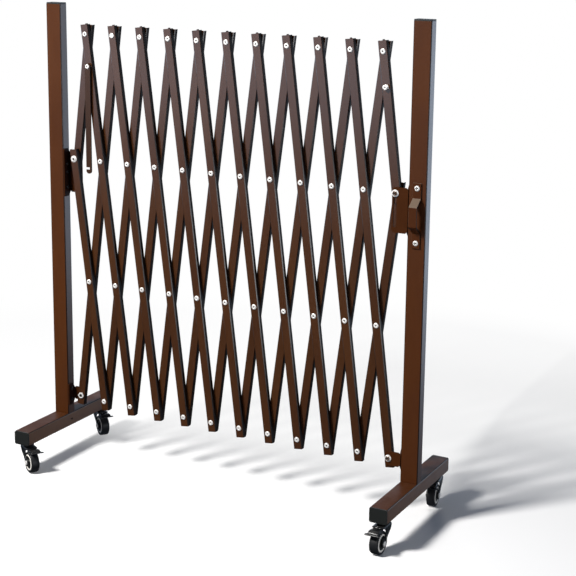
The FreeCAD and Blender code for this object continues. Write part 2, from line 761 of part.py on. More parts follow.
def brake_pedal(label):
    """Arm hinged between the fork's legs, a wide sloping hood behind them and a thin lip for the toe."""
    body = new_body(label)
    width = "%s - 2 * dims.pedal_side_clearance" % FORK_INSIDE
    top, under = "%s + dims.pedal_boss_radius" % PIN_Z, "%s - dims.pedal_boss_radius" % PIN_Z
    arm = sketch_on(body, "XZ_Plane", label + "_arm")
    rectangle(arm, PIN_X + " - dims.pedal_boss_radius", under, "dims.pedal_root + dims.pedal_plate", top)
    pad(body, arm, width, symmetric=True)
    heel = number(arm.evalExpression(PIN_X + " - dims.pedal_boss_radius"))
    fillet(body, "dims.pedal_boss_round", lambda e: runs_along(e, Y) and at(e, X, heel))
    tip, tip_under = "dims.pedal_tip_height", "dims.pedal_tip_height - dims.pedal_tip_depth"
    hood = sketch_on(body, "XZ_Plane", label + "_hood")
    polygon(hood, [
        ("dims.pedal_root", top), ("dims.pedal_shoulder", top), ("dims.pedal_reach", tip),
        ("dims.pedal_reach", tip_under), ("dims.pedal_reach - dims.pedal_plate", tip_under),
        ("dims.pedal_root", "%s - dims.pedal_plate" % top),
    ])
    pad(body, hood, "dims.pedal_width", symmetric=True)
    lip = sketch_on(body, "XZ_Plane", label + "_lip")
    lip_root, lip_top = "dims.pedal_reach - dims.pedal_plate", "%s + dims.lip_plate" % tip_under
    rectangle(lip, lip_root, tip_under, "dims.lip_reach", lip_top)
    pad(body, lip, "dims.lip_width", symmetric=True)
    return body


caster_y = size("foot_tube_length") / 2 + size("cap_plate") - size("caster_inset")
wheel_place = FreeCAD.Placement(Vector(size("caster_trail"), 0, size("wheel_diameter") / 2), turn(X, -90))
pedal_pin = Vector(size("pedal_pin_forward"), 0, size("pedal_pin_height"))
pressed, released = turn(Y, 0), turn(Y, -PEDAL_LIFT)
for corner, yaw in CASTER_YAWS.items():
    side, end = corner.split("_")
    x = -HALF_SPAN if side == "left" else HALF_SPAN
    y = -caster_y if end == "front" else caster_y
    place = FreeCAD.Placement(Vector(x, y, 0), turn(Z, yaw))
    pedal_place = FreeCAD.Placement(Vector(), released if side == "left" else pressed, pedal_pin)
    finish(caster_fork("caster_fork_" + corner), place)
    finish(caster_wheel("caster_wheel_" + corner), place.multiply(wheel_place))
    finish(brake_pedal("brake_pedal_" + corner), place.multiply(pedal_place))


# Every object sound, every part a closed shape, then one file per part

doc.recompute()
for item in doc.Objects:
    if "Invalid" in item.State or "Error" in item.State:
        raise RuntimeError("%s is in state %s" % (item.Name, item.State))
for part in parts:
    if part.Shape.isNull() or not part.Shape.isValid():
        raise RuntimeError(part.Label + " has no sound shape")
os.makedirs("parts", exist_ok=True)
for part in parts:
    part.Shape.exportStep(os.path.join("parts", part.Label + ".step"))
print("wrote", len(parts), "parts")
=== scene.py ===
# %% [markdown]
# # An expandable barricade
#
# This is a folding barrier on wheels. Two end frames, each a post standing on a T-shaped foot, carry a
# scissor lattice of steel channel slats between them. Everything that folds is riveted, so one pull on
# the handle opens or shuts the whole lattice.
#
# The solid shapes come from a CAD model, here called the frame. Blender adds what a photograph would
# show: the finishes, the turned and stamped small parts, the light and the camera. Each step below says
# what a piece is on the real barricade, how it could be made, and why it is made this way.

# %% Load the frame and keep its size
import json
import math

import bmesh
import bpy
from mathutils import Matrix, Vector

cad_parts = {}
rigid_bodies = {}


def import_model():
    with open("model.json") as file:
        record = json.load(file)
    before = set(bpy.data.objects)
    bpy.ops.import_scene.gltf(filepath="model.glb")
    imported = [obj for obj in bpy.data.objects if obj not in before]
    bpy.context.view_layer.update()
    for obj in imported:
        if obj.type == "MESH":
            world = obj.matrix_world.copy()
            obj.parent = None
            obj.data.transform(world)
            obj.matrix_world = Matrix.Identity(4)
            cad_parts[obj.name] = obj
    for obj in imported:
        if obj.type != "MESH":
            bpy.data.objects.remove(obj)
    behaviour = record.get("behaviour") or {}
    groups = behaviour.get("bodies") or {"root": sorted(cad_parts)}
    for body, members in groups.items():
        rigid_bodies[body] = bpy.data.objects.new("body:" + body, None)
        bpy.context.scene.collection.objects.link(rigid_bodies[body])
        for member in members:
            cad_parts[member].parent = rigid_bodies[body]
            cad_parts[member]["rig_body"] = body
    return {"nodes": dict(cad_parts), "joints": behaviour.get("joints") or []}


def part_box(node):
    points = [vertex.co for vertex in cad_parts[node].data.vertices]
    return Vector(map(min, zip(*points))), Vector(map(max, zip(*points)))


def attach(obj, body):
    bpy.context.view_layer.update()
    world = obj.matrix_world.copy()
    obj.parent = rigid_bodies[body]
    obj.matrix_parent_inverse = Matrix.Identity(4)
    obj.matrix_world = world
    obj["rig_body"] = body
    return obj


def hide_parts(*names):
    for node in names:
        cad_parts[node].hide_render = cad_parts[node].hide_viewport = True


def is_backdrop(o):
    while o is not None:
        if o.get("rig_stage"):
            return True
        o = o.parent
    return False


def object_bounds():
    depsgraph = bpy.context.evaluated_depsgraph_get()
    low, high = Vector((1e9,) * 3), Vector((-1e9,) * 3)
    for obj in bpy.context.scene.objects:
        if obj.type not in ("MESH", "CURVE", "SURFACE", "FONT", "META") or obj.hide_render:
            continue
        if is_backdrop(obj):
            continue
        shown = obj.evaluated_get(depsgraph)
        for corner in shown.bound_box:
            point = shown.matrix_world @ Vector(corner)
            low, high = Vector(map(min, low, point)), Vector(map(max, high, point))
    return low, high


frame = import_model()
cad_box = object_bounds()
nodes = frame["nodes"]
MM = 0.001
print("CAD box in mm:", [[round(value / MM, 1) for value in corner] for corner in cad_box])

# %% [markdown]
# ## The camera
#
# The barricade is seen from the front, a little from its right end and from above, with a fairly long
# lens: the slats on the right look only slightly larger than those on the left. A camera could be placed
# by eye. Here its place and angles were fitted to the rivets, the posts and the spots where the wheels
# stand, so the picture and the model can be laid over each other. The lens is shifted down a little, as
# in a picture that was cropped after it was taken.

# %% Place the camera
CAMERA_PLACE = Vector((1567.1, -2700.5, 1279.2)) * MM
CAMERA_YAW = -0.483
CAMERA_PITCH = 0.212
CAMERA_ROLL = 0.012
FOCAL_PIXELS = 1438.7
FRAME_PIXELS = 576
AXIS_ABOVE_CENTRE = 60


def aim_camera(camera):
    """Turn the camera by its yaw, pitch and roll."""
    ahead = Vector((math.sin(CAMERA_YAW) * math.cos(CAMERA_PITCH),
                    math.cos(CAMERA_YAW) * math.cos(CAMERA_PITCH),
                    -math.sin(CAMERA_PITCH)))
    level = Vector((math.cos(CAMERA_YAW), -math.sin(CAMERA_YAW), 0))
    upright = level.cross(ahead)
    right = level * math.cos(CAMERA_ROLL) + upright * math.sin(CAMERA_ROLL)
    up = upright * math.cos(CAMERA_ROLL) - level * math.sin(CAMERA_ROLL)
    turn = Matrix((right, up, -ahead)).transposed()
    camera.matrix_world = Matrix.Translation(CAMERA_PLACE) @ turn.to_4x4()


lens = bpy.data.cameras.new("camera")
lens.sensor_width = 36
lens.lens = FOCAL_PIXELS / FRAME_PIXELS * lens.sensor_width
lens.shift_y = -AXIS_ABOVE_CENTRE / FRAME_PIXELS
lens.clip_end = 200
camera = bpy.data.objects.new("camera", lens)
bpy.context.collection.objects.link(camera)
aim_camera(camera)
bpy.context.scene.camera = camera
print("camera with a lens of", round(lens.lens, 1), "mm")

# %% [markdown]
# ## Light, floor and background
#
# The picture looks like a studio shot on white. A soft key lamp stands high at the front left, so the
# shadows of the wheels and posts fall to the right and back. A weak lamp low at the right opens up the
# casters, and a low lamp behind does the same for the back of the barricade. Both are low so that they
# skim the floor and leave the shadows dark. The one behind is hidden from reflections, or it would glare
# in the backs of the slats. The rest is cool light from the room, which makes the shadows bluish.
#
# The floor is a real surface that catches the shadows. Further out, and between the frames, it fades to
# plain white, so that no horizon and no comb of slat shadows shows. A studio is not equally bright all
# round: a lit backdrop stands behind the object, and the camera side is dim. Glossy paint shows this, so
# reflections see a room and a floor that are bright towards the back and dim near the front. The floor
# brightens again far ahead, and that is what the upper parts of the slats mirror. Without all this the
# sides of the posts would stay brown, where paint at such a flat angle mirrors the backdrop.

# %% Helpers that add shader nodes and join them
def node_of(tree, kind, **values):
    """Add a node to a tree and set its properties."""
    node = tree.nodes.new(kind)
    for key, value in values.items():
        setattr(node, key, value)
    return node


def soft_step(tree, source, low, high, to_low=0.0, to_high=1.0):
    """Map a value smoothly from one range to another."""
    step = node_of(tree, "ShaderNodeMapRange", interpolation_type="SMOOTHSTEP")
    for socket, value in zip(("From Min", "From Max", "To Min", "To Max"), (low, high, to_low, to_high)):
        step.inputs[socket].default_value = value
    tree.links.new(source, step.inputs["Value"])
    return step.outputs["Result"]


def combined(tree, operation, first, second):
    """Value that a Math node makes of two others."""
    pair = node_of(tree, "ShaderNodeMath", operation=operation)
    tree.links.new(first, pair.inputs[0])
    tree.links.new(second, pair.inputs[1])
    return pair.outputs["Value"]


def mixed(tree, mask, first, second):
    """Shader that is the first where the mask is 0 and the second where it is 1."""
    mix = node_of(tree, "ShaderNodeMixShader")
    for source, target in ((mask, 0), (first, 1), (second, 2)):
        tree.links.new(source, mix.inputs[target])
    return mix.outputs["Shader"]


def plain(tree, kind, colour, **values):
    """Shader of one colour."""
    shader = node_of(tree, kind)
    shader.inputs["Color"].default_value = (*colour, 1)
    for label, value in values.items():
        shader.inputs[label].default_value = value
    return shader


# %% Lay the floor
FLOOR_REACH = 30
floor_corners = [(x * FLOOR_REACH, y * FLOOR_REACH, 0) for x, y in ((-1, -1), (1, -1), (1, 1), (-1, 1))]
floor_mesh = bpy.data.meshes.new("floor")
floor_mesh.from_pydata(floor_corners, [], [(0, 1, 2, 3)])
floor = bpy.data.objects.new("floor", floor_mesh)
bpy.context.collection.objects.link(floor)
floor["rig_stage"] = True
print("floor of", 2 * FLOOR_REACH, "m")

# %% Paint the floor, which keeps the shadow near the barricade and turns white further out
# Each fade has a start and an end in metres, and the value at the start and at the end.
BETWEEN_FRAMES = (0.36, 0.48, 0.8, 0)
BEHIND_SLATS = (-0.05, 0.35, 0.1, 1)
WELL_BEHIND = (0.15, 0.9, 0, 0.7)
FAR_OUT = (0.8, 1.8, 0, 1)
GLOW_BEHIND = (-0.3, 2.8, 0.04, 1.6)
GLOW_AHEAD = (-2.5, -8, 0, 2.7)
MIRRORED_TINT = (0.67, 0.81, 1)
floor_paint = bpy.data.materials.new("floor_white")
floor_paint.use_nodes = True
tree = floor_paint.node_tree
tree.nodes.clear()
path = node_of(tree, "ShaderNodeLightPath")
place = node_of(tree, "ShaderNodeTexCoord")
axes = node_of(tree, "ShaderNodeSeparateXYZ")
distance = node_of(tree, "ShaderNodeVectorMath", operation="LENGTH")
tree.links.new(place.outputs["Object"], axes.inputs["Vector"])
tree.links.new(place.outputs["Object"], distance.inputs[0])
across = axes.outputs["X"]
backwards = axes.outputs["Y"]
# Between the frames and well behind the slats, the white is painted over the slats' shadow.
between = combined(tree, "MULTIPLY", soft_step(tree, across, *BETWEEN_FRAMES),
                   soft_step(tree, backwards, *BEHIND_SLATS))
inside = combined(tree, "MAXIMUM", between, soft_step(tree, backwards, *WELL_BEHIND))
far = combined(tree, "MAXIMUM", soft_step(tree, distance.outputs["Value"], *FAR_OUT), inside)
lit = plain(tree, "ShaderNodeBsdfDiffuse", (0.92, 0.92, 0.92))
white = plain(tree, "ShaderNodeEmission", (1, 1, 1), Strength=1)
dull = plain(tree, "ShaderNodeBsdfDiffuse", (0.4, 0.4, 0.42))
mirrored_floor = plain(tree, "ShaderNodeEmission", MIRRORED_TINT)
glow = combined(tree, "ADD", soft_step(tree, backwards, *GLOW_BEHIND),
                soft_step(tree, backwards, *GLOW_AHEAD))
tree.links.new(glow, mirrored_floor.inputs["Strength"])
to_the_eye = mixed(tree, far, lit.outputs["BSDF"], white.outputs["Emission"])
direct = mixed(tree, path.outputs["Is Camera Ray"], dull.outputs["BSDF"], to_the_eye)
whole = mixed(tree, path.outputs["Is Glossy Ray"], direct, mirrored_floor.outputs["Emission"])
surface = node_of(tree, "ShaderNodeOutputMaterial")
tree.links.new(whole, surface.inputs["Surface"])
floor_mesh.materials.append(floor_paint)
print("floor paint:", len(tree.nodes), "nodes")

# %% Room: white to the eye, a bright backdrop and a dim front in reflections, cool and weak as light
BACKDROP_FADE = (-0.4, 0.5, 0.03, 1.3)
WALL_TOP = (0.27, 0.39, 1, 0.05)
world = bpy.data.worlds.new("pale_room")
bpy.context.scene.world = world
world.use_nodes = True
tree = world.node_tree
tree.nodes.clear()
path = node_of(tree, "ShaderNodeLightPath")
direction = node_of(tree, "ShaderNodeTexCoord")
axes = node_of(tree, "ShaderNodeSeparateXYZ")
tree.links.new(direction.outputs["Generated"], axes.inputs["Vector"])
ambient = plain(tree, "ShaderNodeBackground", (0.58, 0.72, 1), Strength=0.13)
backdrop = plain(tree, "ShaderNodeBackground", (1, 1, 1), Strength=1)
mirrored_room = plain(tree, "ShaderNodeBackground", MIRRORED_TINT)
low_wall = combined(tree, "MULTIPLY", soft_step(tree, axes.outputs["Y"], *BACKDROP_FADE),
                    soft_step(tree, axes.outputs["Z"], *WALL_TOP))
tree.links.new(low_wall, mirrored_room.inputs["Strength"])
seen = combined(tree, "MAXIMUM", path.outputs["Is Camera Ray"], path.outputs["Is Transmission Ray"])
direct = mixed(tree, seen, ambient.outputs["Background"], backdrop.outputs["Background"])
whole = mixed(tree, path.outputs["Is Glossy Ray"], direct, mirrored_room.outputs["Background"])
sky = node_of(tree, "ShaderNodeOutputWorld")
tree.links.new(whole, sky.inputs["Surface"])
bpy.context.scene.view_settings.view_transform = "Standard"
print("room:", world.name, "with", len(tree.nodes), "nodes")


# %% Key lamp at the front left, a low lamp behind and a weak one at the right
def soft_lamp(name, place, target, size, power, colour):
    """Square area lamp at a place, turned towards a target."""
    lamp = bpy.data.lights.new(name, "AREA")
    lamp.shape = "SQUARE"
    lamp.size = size
    lamp.energy = power
    lamp.color = colour
    stand = bpy.data.objects.new(name, lamp)
    stand.location = place
    stand.rotation_euler = (Vector(target) - Vector(place)).to_track_quat("-Z", "Y").to_euler()
    bpy.context.collection.objects.link(stand)
    return stand


soft_lamp("key_lamp", (-1.25, -2.4, 3.05), (0, 0, 0.5), 0.65, 240, (1, 0.98, 0.95))
back_lamp = soft_lamp("back_lamp", (-1.2, 3.4, 0.3), (0, 0, 0.65), 0.9, 95, (1, 0.99, 0.97))
back_lamp.visible_glossy = False
soft_lamp("fill_lamp", (2.6, -1.4, 0.34), (0.3, 0, 0.2), 0.7, 16, (0.96, 0.98, 1))

# %% [markdown]
# ## Shared surface effects
#
# A powder coat is never one flat colour. Baked powder leaves a fine pebbled skin, its gloss drifts over
# a long tube, corners take another shade, and dust settles on what faces up. Each of these could be
# drawn separately in every material. They are the same effects everywhere, so each is a node group with
# named inputs, built once and placed in each material with its own values.

# %% Helper that starts a node group
FLOAT = "NodeSocketFloat"


def new_effect(name, inputs, outputs):
    """Empty node group with value inputs and the given outputs, and its two end nodes."""
    group = bpy.data.node_groups.new(name, "ShaderNodeTree")
    for label, default in inputs.items():
        socket = group.interface.new_socket(label, in_out="INPUT", socket_type=FLOAT)
        socket.default_value = default
    for label, kind in outputs.items():
        group.interface.new_socket(label, in_out="OUTPUT", socket_type=kind)
    return group, node_of(group, "NodeGroupInput"), node_of(group, "NodeGroupOutput")


# %% [markdown]
# **Pebbled skin.** Two layers of noise, one at the size of the powder's grains and one several times
# wider, together make the orange peel of a baked coat. It goes to a Bump node as a height. Its
# coordinates are the piece's own, so the grain stays on a slat when the lattice folds.

# %% Pebbled skin
pebbles, given, result = new_effect("pebbled_skin", {"Grain per metre": 700.0}, {"Height": FLOAT})
spot = node_of(pebbles, "ShaderNodeTexCoord")
fine = node_of(pebbles, "ShaderNodeTexNoise")
fine.inputs["Detail"].default_value = 3
wide = node_of(pebbles, "ShaderNodeTexNoise")
wide.inputs["Detail"].default_value = 1
wider = node_of(pebbles, "ShaderNodeMath", operation="MULTIPLY")
wider.inputs[1].default_value = 0.22
pebbles.links.new(given.outputs["Grain per metre"], fine.inputs["Scale"])
pebbles.links.new(given.outputs["Grain per metre"], wider.inputs[0])
pebbles.links.new(wider.outputs["Value"], wide.inputs["Scale"])
for noise in (fine, wide):
    pebbles.links.new(spot.outputs["Object"], noise.inputs["Vector"])
both = combined(pebbles, "ADD", fine.outputs["Fac"], wide.outputs["Fac"])
pebbles.links.new(both, result.inputs["Height"])
print("effect:", pebbles.name)

# %% [markdown]
# **Drifting gloss.** Slow clouds of noise, stretched along the tubes, decide where a coat is a shade
# deeper and where hands have polished it.

# %% Drifting gloss
drift, given, result = new_effect("drifting_gloss", {"Clouds per metre": 9.0}, {"Mask": FLOAT})
spot = node_of(drift, "ShaderNodeTexCoord")
long_way = node_of(drift, "ShaderNodeMapping")
long_way.inputs["Scale"].default_value = (1, 1, 0.35)
cloud = node_of(drift, "ShaderNodeTexNoise")
cloud.inputs["Detail"].default_value = 5
cloud.inputs["Roughness"].default_value = 0.6
drift.links.new(spot.outputs["Object"], long_way.inputs["Vector"])
drift.links.new(long_way.outputs["Vector"], cloud.inputs["Vector"])
drift.links.new(given.outputs["Clouds per metre"], cloud.inputs["Scale"])
drift.links.new(soft_step(drift, cloud.outputs["Fac"], 0.3, 0.7), result.inputs["Mask"])
print("effect:", drift.name)

# %% [markdown]
# ** Rolled edges.** A bent sheet or a welded tube has no knife edges. The Bevel node rounds the shading
# of each corner. Where the rounded normal leaves the flat one, there is an edge, and that gives a mask
# for a colour of its own: darker on the brown tubes, slats, brackets and strap as painted shade along
# their edges, paler on the handle as a painted highlight, and paler where moulding or metal is rubbed.
# Noise breaks the mask up, so that no edge is even.

# %% Rolled edges
rolled, given, result = new_effect("rolled_edges", {"Radius": 0.8 * MM, "Breakup per metre": 60.0},
                                   {"Normal": "NodeSocketVector", "Mask": FLOAT})
spot = node_of(rolled, "ShaderNodeTexCoord")
rounding = node_of(rolled, "ShaderNodeBevel", samples=4)
rolled.links.new(given.outputs["Radius"], rounding.inputs["Radius"])
flat = node_of(rolled, "ShaderNodeNewGeometry")
agree = node_of(rolled, "ShaderNodeVectorMath", operation="DOT_PRODUCT")
rolled.links.new(rounding.outputs["Normal"], agree.inputs[0])
rolled.links.new(flat.outputs["Normal"], agree.inputs[1])
turned_away = soft_step(rolled, agree.outputs["Value"], 0.995, 0.85)
patches = node_of(rolled, "ShaderNodeTexNoise")
rolled.links.new(spot.outputs["Object"], patches.inputs["Vector"])
rolled.links.new(given.outputs["Breakup per metre"], patches.inputs["Scale"])
broken = combined(rolled, "MULTIPLY", turned_away, soft_step(rolled, patches.outputs["Fac"], 0.25, 0.7))
rolled.links.new(rounding.outputs["Normal"], result.inputs["Normal"])
rolled.links.new(broken, result.inputs["Mask"])
print("effect:", rolled.name)

# %% [markdown]
# **Sides.** Slats and the strap swing only about axes that run from front to back, so the Y part of a
# normal always tells their front from their flanks and their back. The posts and feet never turn, so the
# X part tells their sides, and their round corners are where no part is large. The Z part tells the
# upper slope of the handle. The group gives all five as masks.

# %% Sides
# The finishes use these masks to lay painted shade and painted light by facing.
MASKS = ("Front", "Flank", "Side", "Slope", "Corner")
side_masks, _, result = new_effect("sides", {}, {mask: FLOAT for mask in MASKS})
flat = node_of(side_masks, "ShaderNodeNewGeometry")
axes = node_of(side_masks, "ShaderNodeSeparateXYZ")
side_masks.links.new(flat.outputs["Normal"], axes.inputs["Vector"])
parts = {}
for axis in "XYZ":
    size = node_of(side_masks, "ShaderNodeMath", operation="ABSOLUTE")
    side_masks.links.new(axes.outputs[axis], size.inputs[0])
    parts[axis] = size.outputs["Value"]
larger = combined(side_masks, "MAXIMUM", parts["X"], parts["Y"])
largest = combined(side_masks, "MAXIMUM", larger, parts["Z"])
steps = ((axes.outputs["Y"], -0.5, -0.9), (parts["Y"], 0.98, 0.75), (parts["X"], 0.5, 0.9),
         (axes.outputs["Z"], 0.3, 0.6), (largest, 0.985, 0.9))
for mask, (source, start, end) in zip(MASKS, steps):
    side_masks.links.new(soft_step(side_masks, source, start, end), result.inputs[mask])
print("effect:", side_masks.name, "with masks", MASKS)

# %% [markdown]
# **Settled dust.** The upward part of the surface's normal tells what faces the sky. Noise makes the
# film patchy, and the mask stays faint, because this barricade is nearly new.

# %% Settled dust
dust, given, result = new_effect("settled_dust", {"Amount": 0.1}, {"Mask": FLOAT})
spot = node_of(dust, "ShaderNodeTexCoord")
flat = node_of(dust, "ShaderNodeNewGeometry")
axes = node_of(dust, "ShaderNodeSeparateXYZ")
dust.links.new(flat.outputs["Normal"], axes.inputs["Vector"])
film = node_of(dust, "ShaderNodeTexNoise")
film.inputs["Scale"].default_value = 45
film.inputs["Detail"].default_value = 6
dust.links.new(spot.outputs["Object"], film.inputs["Vector"])
patchy = combined(dust, "MULTIPLY", soft_step(dust, axes.outputs["Z"], 0.5, 0.95),
                  soft_step(dust, film.outputs["Fac"], 0.35, 0.75))
thin = combined(dust, "MULTIPLY", patchy, given.outputs["Amount"])
dust.links.new(thin, result.inputs["Mask"])
print("effect:", dust.name)

# %% [markdown]
# ## Finishes
#
# Every finish on the barricade is put together in the same way: two close shades drifting into each
# other, another colour on the edges, dust on top, a gloss that drifts with the shades, and the pebbled
# skin as bump. The edge colour is painted shade on the brown tubes, slats, brackets and strap, a painted
# highlight on the handle, and rubbed wear on the others. One function does this, and what makes a
# finish its own are the numbers: brown powder coat is warm and half glossy, zinc is bright, the tread
# is nearly black and dull.
#
# Some pieces look different on their sides, and these colours by facing are painted light and shade.
# The slats have painted shade on their flanks and a clear coat on their fronts, and so has the strap,
# with a weaker coat. The posts and feet shine most on the sides that mirror the backdrop, and their
# round corners carry painted shade. The sides of the feet are painted paler, as painted light. The
# brackets and the handle have painted shade on their sides, and the upper slope of the handle is
# painted pale as a painted highlight. A finish takes these as painted colours and as coat weights by
# mask.

# %% Helpers for colours and for placing an effect
def srgb(red, green, blue):
    """Colour from the usual 0 to 255 numbers, as the linear light that shaders take."""
    linear = []
    for value in (red, green, blue):
        part = value / 255
        linear.append(part / 12.92 if part <= 0.04045 else ((part + 0.055) / 1.055) ** 2.4)
    return (*linear, 1)


def placed(tree, effect, **values):
    """Put an effect into a material and set its inputs."""
    node = node_of(tree, "ShaderNodeGroup", node_tree=effect)
    for label, value in values.items():
        node.inputs[label.replace("_", " ")].default_value = value
    return node


def tinted(tree, under, mask, colour):
    """Lay a colour over what is under it, where the mask says so."""
    mix = node_of(tree, "ShaderNodeMix", data_type="RGBA")
    if isinstance(under, tuple):
        mix.inputs["A"].default_value = under
    else:
        tree.links.new(under, mix.inputs["A"])
    mix.inputs["B"].default_value = colour
    tree.links.new(mask, mix.inputs["Factor"])
    return mix.outputs["Result"]


# %% Function that mixes a finish
DUST_SHADE = srgb(176, 170, 162)
COAT_ROUGHNESS = 0.2


def finish(name, shade, deeper, edge_wear_and_painted_light, gloss, grain, depth, edge=0.8, metal=0.0, specular=0.4,
           film=0.1, painted_light_by_mask=None, coat=None, coated="Side"):
    """Material with drifting shades and gloss, an edge colour, painted light by mask, dust and a pebbled
    skin.
    """
    material = bpy.data.materials.new(name)
    material.use_nodes = True
    tree = material.node_tree
    skin = tree.nodes["Principled BSDF"]
    drifting = placed(tree, drift)
    edges = placed(tree, rolled, Radius=edge * MM)
    dusty = placed(tree, dust, Amount=film)
    colour = tinted(tree, shade, drifting.outputs["Mask"], deeper)
    colour = tinted(tree, colour, edges.outputs["Mask"], edge_wear_and_painted_light)
    if painted_light_by_mask or coat:
        sideways = placed(tree, side_masks)
    # Each colour given by mask is painted light or painted shade on the faces that the mask picks.
    for mask, painted_colour in (painted_light_by_mask or {}).items():
        colour = tinted(tree, colour, sideways.outputs[mask], painted_colour)
    colour = tinted(tree, colour, dusty.outputs["Mask"], DUST_SHADE)
    tree.links.new(colour, skin.inputs["Base Color"])
    tree.links.new(soft_step(tree, drifting.outputs["Mask"], 0, 1, *gloss), skin.inputs["Roughness"])
    pebbled = placed(tree, pebbles, Grain_per_metre=grain)
    bump = node_of(tree, "ShaderNodeBump")
    bump.inputs["Distance"].default_value = depth * MM
    tree.links.new(pebbled.outputs["Height"], bump.inputs["Height"])
    tree.links.new(edges.outputs["Normal"], bump.inputs["Normal"])
    tree.links.new(bump.outputs["Normal"], skin.inputs["Normal"])
    skin.inputs["Metallic"].default_value = metal
    skin.inputs["Specular IOR Level"].default_value = specular
    if coat:
        weight = soft_step(tree, sideways.outputs[coated], 0, 1, *coat)
        tree.links.new(weight, skin.inputs["Coat Weight"])
        skin.inputs["Coat Roughness"].default_value = COAT_ROUGHNESS
    return material


# %% Mix the brown finishes
# The third tube colour is painted shade along the rounded edges.
TUBE_SHADES = (srgb(72, 38, 13), srgb(63, 31, 10), srgb(40, 20, 10))
TUBE_SKIN = {"gloss": (0.36, 0.48), "grain": 750, "depth": 0.05, "edge": 1.8, "specular": 0.15,
             "film": 0.04, "coat": (0.05, 1)}
# Painted shade in the round corners of the posts.
brown_coat = finish("brown_coat", *TUBE_SHADES, **TUBE_SKIN, painted_light_by_mask={"Corner": srgb(20, 10, 6)})
# The sides of the feet are painted paler as painted light, and their corners carry painted shade.
foot_brown = finish("foot_brown", *TUBE_SHADES, **TUBE_SKIN,
                    painted_light_by_mask={"Side": srgb(106, 78, 60), "Corner": srgb(24, 13, 8)})
# Painted shade on the sides of the brackets and along their edges.
bracket_brown = finish("bracket_brown", srgb(63, 33, 14), srgb(55, 28, 11), srgb(32, 17, 9),
                       gloss=(0.36, 0.48), grain=750, depth=0.05, specular=0.04, film=0.04,
                       painted_light_by_mask={"Side": srgb(36, 19, 14)})
# Painted highlight along the handle's edges and on its upper slope, and painted shade on its sides.
handle_brown = finish("handle_brown", srgb(69, 37, 16), srgb(61, 31, 13), srgb(118, 96, 82),
                      gloss=(0.3, 0.42), grain=750, depth=0.04, specular=0.08, film=0.0,
                      painted_light_by_mask={"Side": srgb(18, 11, 8), "Slope": srgb(103, 88, 75)})
# Painted shade on the flanks of the slats and of the strap, and along their edges.
slat_brown = finish("slat_brown", srgb(65, 37, 16), srgb(56, 30, 12), srgb(28, 15, 9),
                    gloss=(0.42, 0.54), grain=800, depth=0.05, specular=0.06, film=0.04,
                    painted_light_by_mask={"Flank": srgb(24, 15, 10)}, coat=(0, 1), coated="Front")
strap_brown = finish("strap_brown", srgb(54, 33, 18), srgb(47, 27, 13), srgb(26, 15, 9),
                     gloss=(0.42, 0.54), grain=800, depth=0.05, specular=0.06, film=0.04,
                     painted_light_by_mask={"Flank": srgb(24, 15, 10)}, coat=(0, 0.4), coated="Front")
browns = (brown_coat, foot_brown, bracket_brown, handle_brown, slat_brown, strap_brown)
print("brown finishes:", [item.name for item in browns])

# %% Mix the black, bright and pale finishes
moulded_black = finish("moulded_black", srgb(29, 31, 30), srgb(23, 25, 24), srgb(52, 56, 54),
                       gloss=(0.42, 0.55), grain=1100, depth=0.06)
stamped_black = finish("stamped_black", srgb(24, 25, 27), srgb(18, 19, 21), srgb(62, 63, 66),
                       gloss=(0.22, 0.34), grain=900, depth=0.03, specular=0.5)
bright_zinc = finish("bright_zinc", srgb(240, 238, 234), srgb(228, 226, 223), srgb(248, 247, 245),
                     gloss=(0.3, 0.42), grain=1500, depth=0.01, metal=0.3, specular=0.6, film=0.0)
rolling_tread = finish("rolling_tread", srgb(27, 28, 31), srgb(21, 22, 25), srgb(44, 45, 48),
                       gloss=(0.42, 0.58), grain=1300, depth=0.05)
pale_core = finish("pale_core", srgb(240, 236, 228), srgb(230, 226, 217), srgb(244, 241, 234),
                   gloss=(0.35, 0.48), grain=900, depth=0.02)
others = (moulded_black, stamped_black, bright_zinc, rolling_tread, pale_core)
print("other finishes:", [item.name for item in others])

# %% [markdown]
# ## Tubes, slats, plates and caps
#
# Posts and feet are welded rectangular tube, the slats are thin sheet bent into a channel, the brackets,
# the strap and the handle are bent or punched plate, and the tube ends carry moulded caps. The CAD model
# has these shapes already, with their bends and holes, so their meshes stay and only get their finish.

# %% Give the carried-over shapes their finishes
def dress(node, material):
    """Replace a CAD node's materials with one finish."""
    mesh = nodes[node].data
    mesh.materials.clear()
    mesh.materials.append(material)


for node in nodes:
    if node.endswith("_post"):
        dress(node, brown_coat)
    elif node.endswith("_foot"):
        dress(node, foot_brown)
    elif node.endswith("_brackets"):
        dress(node, bracket_brown)
    elif node == "pull_handle":
        dress(node, handle_brown)
    elif "_slat_" in node:
        dress(node, slat_brown)
    elif node == "hook_strap":
        dress(node, strap_brown)
    elif node.endswith("_end_caps"):
        dress(node, moulded_black)
print("carried over with a finish:", sum(1 for item in nodes.values() if item.data.materials))

# %% [markdown]
# ## Turned parts
#
# Rivets, bolts, nuts, collars and wheels come off a lathe or a cold header, so each is an outline of
# radii and heights spun round its own axis. A hexagon or a cross recess is the same spin, with the
# radius squeezed at each angle. All of them are drawn in millimetres, like a workshop drawing, and
# scaled once at the end.

# %% Ways that a turned part can point, and shapes other than round
FRONT = Matrix.Rotation(math.radians(90), 4, "X")
BACK = Matrix.Rotation(math.radians(-90), 4, "X")
RIGHT = Matrix.Rotation(math.radians(90), 4, "Y")
LEFT = Matrix.Rotation(math.radians(-90), 4, "Y")
CROSS_ARM = 0.27


def fully_round(angle):
    """Reach of a circle, the same at every angle."""
    return 1


def six_sided(angle):
    """Reach of a hexagon at an angle, where its flats lie at 1."""
    return 1 / math.cos(angle % math.radians(60) - math.radians(30))


def cross_cut(angle):
    """Reach of a cross recess at an angle, where its arms end at 1."""
    return min(1, CROSS_ARM / max(0.01, min(abs(math.sin(angle)), abs(math.cos(angle)))))


